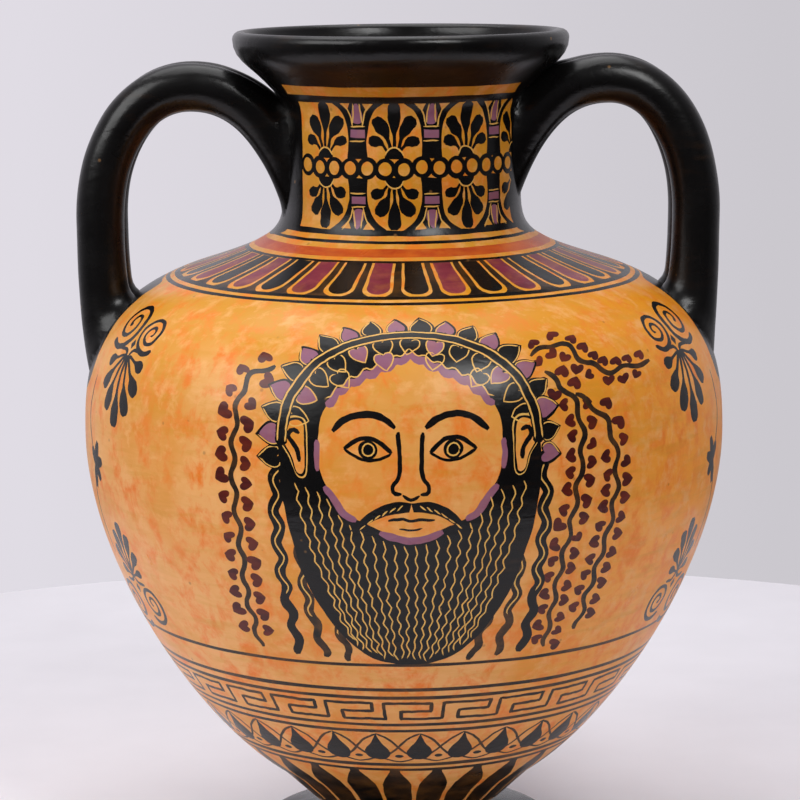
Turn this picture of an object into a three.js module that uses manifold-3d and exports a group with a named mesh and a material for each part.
// Painted two-handled amphora, fired in one piece: a hollow round body on a disc foot, a straight neck
// with a cup-shaped mouth, and two double-rolled handles from the neck to the shoulder.
// Millimetres, +Z up. The origin is the middle of the foot's standing ring, and the handles lie along X.
import * as THREE from "three";
import { mergeVertices } from "three/addons/utils/BufferGeometryUtils.js";
import Module from "manifold-3d";

// Driving dimensions of the wall
const HEIGHT = 260;
const WALL = 5.5;
const FLOOR_HEIGHT = 28.5;
const BELLY = { radius: 100, height: 136.5, pullDown: 42, pullUp: 24.5 };
const SHOULDER = { radius: 64.8, height: 187.8, slope: 0.31, pullOut: 31.3, pullIn: 31 };
const NECK = { radius: 37, foot: 216, top: 233, pullDown: 17, pullUp: 7 };
const CUP = { radius: 42.6, height: 245, slope: 0.8, pullDown: 4.5, pullUp: 6.5 };
const MOUTH = { radius: 52, lip: 2.4, pullDown: 6, innerTurn: 0.45 * Math.PI };

// Driving dimensions of the foot
const JOINT = { radius: 31.2, height: 18.1 };
const WAIST = { radius: 41.9, height: 28.3, pullX: 24, pullZ: 15.5 };
const STEM = { radius: 25.5, height: 13.2, flareRadius: 31, flareHeight: 10.4, flareRise: 1, topDrop: 1.5 };
const FOOT = { radius: 48, top: 7.1, edge: 3.4, ring: 36, recess: 4, recessRadius: 30 };

// Driving dimensions of a handle: each roll of its section, and the middle line from neck to shoulder
const ROLL_RADIUS = 7.4;
const ROLL_OFFSET = 6.4;
const HANDLE_ROOT = { x: 25, z: 208 };
const HANDLE_CREST = { x: 64, z: 244, pullIn: 12, pullOut: 17 };
const HANDLE_LIMB = { x: 92.3, z: 203, pullUp: 22, pullDown: 16 };
const HANDLE_END = { x: 84, z: 146 };
const NECK_PULL = { x: 44, z: 240 };
const SHOULDER_PULL = { x: 93, z: 163 };
const RIGHT_LEAN = { rise: 0.8, crest: 0, limb: -1.3, shoulder: -3 };
const LEFT_LEAN = { rise: -0.8, crest: 1.3, limb: 1.2, shoulder: 0.3 };
const ROOT_SWELL = 0.28;
const ROOT_REACH = 26;

// Facets
const ROUND_SIDES = 40;
const CURVE_STEPS = 6;
const FOOT_STEPS = 3;
const LIP_STEPS = 2;
const HANDLE_STEPS = 24;
const ROLL_STEPS = 4;

const CLAY_COLOUR = 0xd9913f;
const VARNISH_ROUGHNESS = 0.35;
const MERGE_DISTANCE = 1e-4;

// The outer wall, from the joint with the foot up to the widest point of the lip.
function wallPath() {
  const shoulderX = Math.cos(SHOULDER.slope);
  const shoulderZ = Math.sin(SHOULDER.slope);
  const cupX = Math.cos(CUP.slope);
  const cupZ = Math.sin(CUP.slope);
  const path = new THREE.Path();
  path.moveTo(JOINT.radius, JOINT.height);
  path.lineTo(WAIST.radius, WAIST.height);
  path.bezierCurveTo(
    WAIST.radius + WAIST.pullX, WAIST.height + WAIST.pullZ,
    BELLY.radius, BELLY.height - BELLY.pullDown,
    BELLY.radius, BELLY.height,
  );
  path.bezierCurveTo(
    BELLY.radius, BELLY.height + BELLY.pullUp,
    SHOULDER.radius + SHOULDER.pullOut * shoulderX, SHOULDER.height - SHOULDER.pullOut * shoulderZ,
    SHOULDER.radius, SHOULDER.height,
  );
  path.bezierCurveTo(
    SHOULDER.radius - SHOULDER.pullIn * shoulderX, SHOULDER.height + SHOULDER.pullIn * shoulderZ,
    NECK.radius, NECK.foot - NECK.pullDown,
    NECK.radius, NECK.foot,
  );
  path.lineTo(NECK.radius, NECK.top);
  path.bezierCurveTo(
    NECK.radius, NECK.top + NECK.pullUp,
    CUP.radius - CUP.pullDown * cupX, CUP.height - CUP.pullDown * cupZ,
    CUP.radius, CUP.height,
  );
  path.bezierCurveTo(
    CUP.radius + CUP.pullUp * cupX, CUP.height + CUP.pullUp * cupZ,
    MOUTH.radius, HEIGHT - MOUTH.lip - MOUTH.pullDown,
    MOUTH.radius, HEIGHT - MOUTH.lip,
  );
  return path;
}

// The foot, from the middle of its hollowed underside out to its edge and up to the joint.
function footPath() {
  const edgeMiddle = FOOT.top - FOOT.edge;
  const path = new THREE.Path();
  path.moveTo(0, FOOT.recess);
  path.lineTo(FOOT.recessRadius, FOOT.recess);
  path.lineTo(FOOT.ring, 0);
  path.lineTo(FOOT.radius - FOOT.edge, 0);
  path.absarc(FOOT.radius - FOOT.edge, edgeMiddle, FOOT.edge, -Math.PI / 2, Math.PI / 2, false);
  path.lineTo(STEM.flareRadius, STEM.flareHeight);
  path.quadraticCurveTo(STEM.radius, STEM.flareHeight + STEM.flareRise, STEM.radius, STEM.height);
  path.quadraticCurveTo(STEM.radius, JOINT.height - STEM.topDrop, JOINT.radius, JOINT.height);
  return path;
}

// Points of the wall moved inwards by its thickness, square to the wall.
function insetWall(points) {
  return points.map((point, index) => {
    const before = points[Math.max(index - 1, 0)];
    const after = points[Math.min(index + 1, points.length - 1)];
    const along = after.clone().sub(before).normalize();
    return new THREE.Vector2(point.x - along.y * WALL, point.y + along.x * WALL);
  });
}

// The closed outline of foot, wall and lip, filled solid up to the crown of the lip.
function outerOutline() {
  const lip = new THREE.Path();
  lip.absarc(MOUTH.radius - MOUTH.lip, HEIGHT - MOUTH.lip, MOUTH.lip, 0, Math.PI / 2, false);
  const foot = footPath().getPoints(FOOT_STEPS);
  const wall = wallPath().getPoints(CURVE_STEPS);
  const top = new THREE.Vector2(0, HEIGHT);
  return [...foot, ...wall.slice(1), ...lip.getPoints(LIP_STEPS).slice(1), top];
}

// The closed outline of the hollow, from the floor up through the neck and out over the lip.
function hollowOutline() {
  const lipMiddle = MOUTH.radius - MOUTH.lip;
  const lip = new THREE.Path();
  lip.absarc(lipMiddle, HEIGHT - MOUTH.lip, MOUTH.lip, Math.PI, Math.PI - MOUTH.innerTurn, true);
  const lipPoints = lip.getPoints(LIP_STEPS);
  const above = HEIGHT + WALL;
  const inner = insetWall(wallPath().getPoints(CURVE_STEPS).slice(1));
  const lipFoot = HEIGHT - 2 * MOUTH.lip;
  const clear = inner.filter((point) => point.y < lipFoot);
  return [
    new THREE.Vector2(0, FLOOR_HEIGHT),
    ...clear,
    ...lipPoints,
    new THREE.Vector2(lipPoints.at(-1).x, above),
    new THREE.Vector2(0, above),
  ];
}

function latheGeometry(outline) {
  return new THREE.LatheGeometry(outline, ROUND_SIDES).rotateX(Math.PI / 2);
}

// The middle line of a handle, in the XZ plane: up from the neck, over the crest and down to the shoulder.
function handlePath(lean) {
  const point = (x, z) => new THREE.Vector3(x, 0, z + lean.rise);
  const crestX = HANDLE_CREST.x + lean.crest;
  const limbX = HANDLE_LIMB.x + lean.limb;
  const crest = point(crestX, HANDLE_CREST.z);
  const limb = point(limbX, HANDLE_LIMB.z);
  const path = new THREE.CurvePath();
  path.add(new THREE.CubicBezierCurve3(
    point(HANDLE_ROOT.x, HANDLE_ROOT.z),
    point(NECK_PULL.x, NECK_PULL.z),
    point(crestX - HANDLE_CREST.pullIn, HANDLE_CREST.z),
    crest,
  ));
  path.add(new THREE.CubicBezierCurve3(
    crest,
    point(crestX + HANDLE_CREST.pullOut, HANDLE_CREST.z),
    point(limbX, HANDLE_LIMB.z + HANDLE_LIMB.pullUp),
    limb,
  ));
  path.add(new THREE.CubicBezierCurve3(
    limb,
    point(limbX, HANDLE_LIMB.z - HANDLE_LIMB.pullDown),
    point(SHOULDER_PULL.x + lean.shoulder, SHOULDER_PULL.z),
    point(HANDLE_END.x, HANDLE_END.z),
  ));
  return path;
}

// Two rolls side by side, meeting in a groove.
function handleSection() {
  const meeting = Math.PI - Math.acos(ROLL_OFFSET / ROLL_RADIUS);
  const shape = new THREE.Shape();
  shape.absarc(ROLL_OFFSET, 0, ROLL_RADIUS, -meeting, meeting, false);
  shape.absarc(-ROLL_OFFSET, 0, ROLL_RADIUS, Math.PI - meeting, Math.PI + meeting, false);
  return shape;
}

// The rolls swell towards both roots, where the clay is worked into the wall.
function swellRoots(geometry, path) {
  const stations = path.getSpacedPoints(HANDLE_STEPS);
  const length = path.getLength();
  const position = geometry.attributes.position;
  const vertex = new THREE.Vector3();
  for (let index = 0; index < position.count; index += 1) {
    vertex.fromBufferAttribute(position, index);
    const gaps = stations.map((station) => Math.hypot(station.x - vertex.x, station.z - vertex.z));
    const nearest = gaps.indexOf(Math.min(...gaps));
    const fromStart = (nearest / HANDLE_STEPS) * length;
    const fromEnd = Math.min(fromStart, length - fromStart);
    const swell = 1 + ROOT_SWELL * Math.exp(-((fromEnd / ROOT_REACH) ** 2));
    vertex.sub(stations[nearest]).multiplyScalar(swell).add(stations[nearest]);
    position.setXYZ(index, vertex.x, vertex.y, vertex.z);
  }
  return geometry;
}

function handleGeometry(lean) {
  const path = handlePath(lean);
  const geometry = new THREE.ExtrudeGeometry(handleSection(), {
    steps: HANDLE_STEPS,
    curveSegments: ROLL_STEPS,
    extrudePath: path,
    bevelEnabled: false,
  });
  return swellRoots(geometry, path);
}

// A closed geometry as a solid: shared corners merged, and the empty triangles at the poles left out.
function solidOf(wasm, geometry) {
  const bare = geometry.clone();
  bare.deleteAttribute("normal");
  bare.deleteAttribute("uv");
  const merged = mergeVertices(bare, MERGE_DISTANCE);
  const corners = [];
  for (let index = 0; index < merged.index.count; index += 3) {
    const [a, b, c] = [0, 1, 2].map((corner) => merged.index.getX(index + corner));
    if (a !== b && b !== c && c !== a) {
      corners.push(a, b, c);
    }
  }
  return new wasm.Manifold(new wasm.Mesh({
    numProp: 3,
    vertProperties: new Float32Array(merged.attributes.position.array),
    triVerts: new Uint32Array(corners),
  }));
}

function geometryOf(solid) {
  const mesh = solid.getMesh();
  const geometry = new THREE.BufferGeometry();
  geometry.setAttribute("position", new THREE.BufferAttribute(mesh.vertProperties, 3));
  geometry.setIndex(new THREE.BufferAttribute(mesh.triVerts, 1));
  geometry.computeVertexNormals();
  return geometry;
}

const wasm = await Module();
wasm.setup();

const filled = solidOf(wasm, latheGeometry(outerOutline()));
const hollow = solidOf(wasm, latheGeometry(hollowOutline()));
const rightHandle = solidOf(wasm, handleGeometry(RIGHT_LEAN));
const leftHandle = solidOf(wasm, handleGeometry(LEFT_LEAN).rotateZ(Math.PI));
const vaseSolid = filled.add(rightHandle).add(leftHandle).subtract(hollow);

const vase = new THREE.Mesh(
  geometryOf(vaseSolid),
  new THREE.MeshStandardMaterial({ color: CLAY_COLOUR, roughness: VARNISH_ROUGHNESS, metalness: 0 }),
);
vase.name = "vase";

const amphora = new THREE.Group();
amphora.add(vase);

export default amphora;
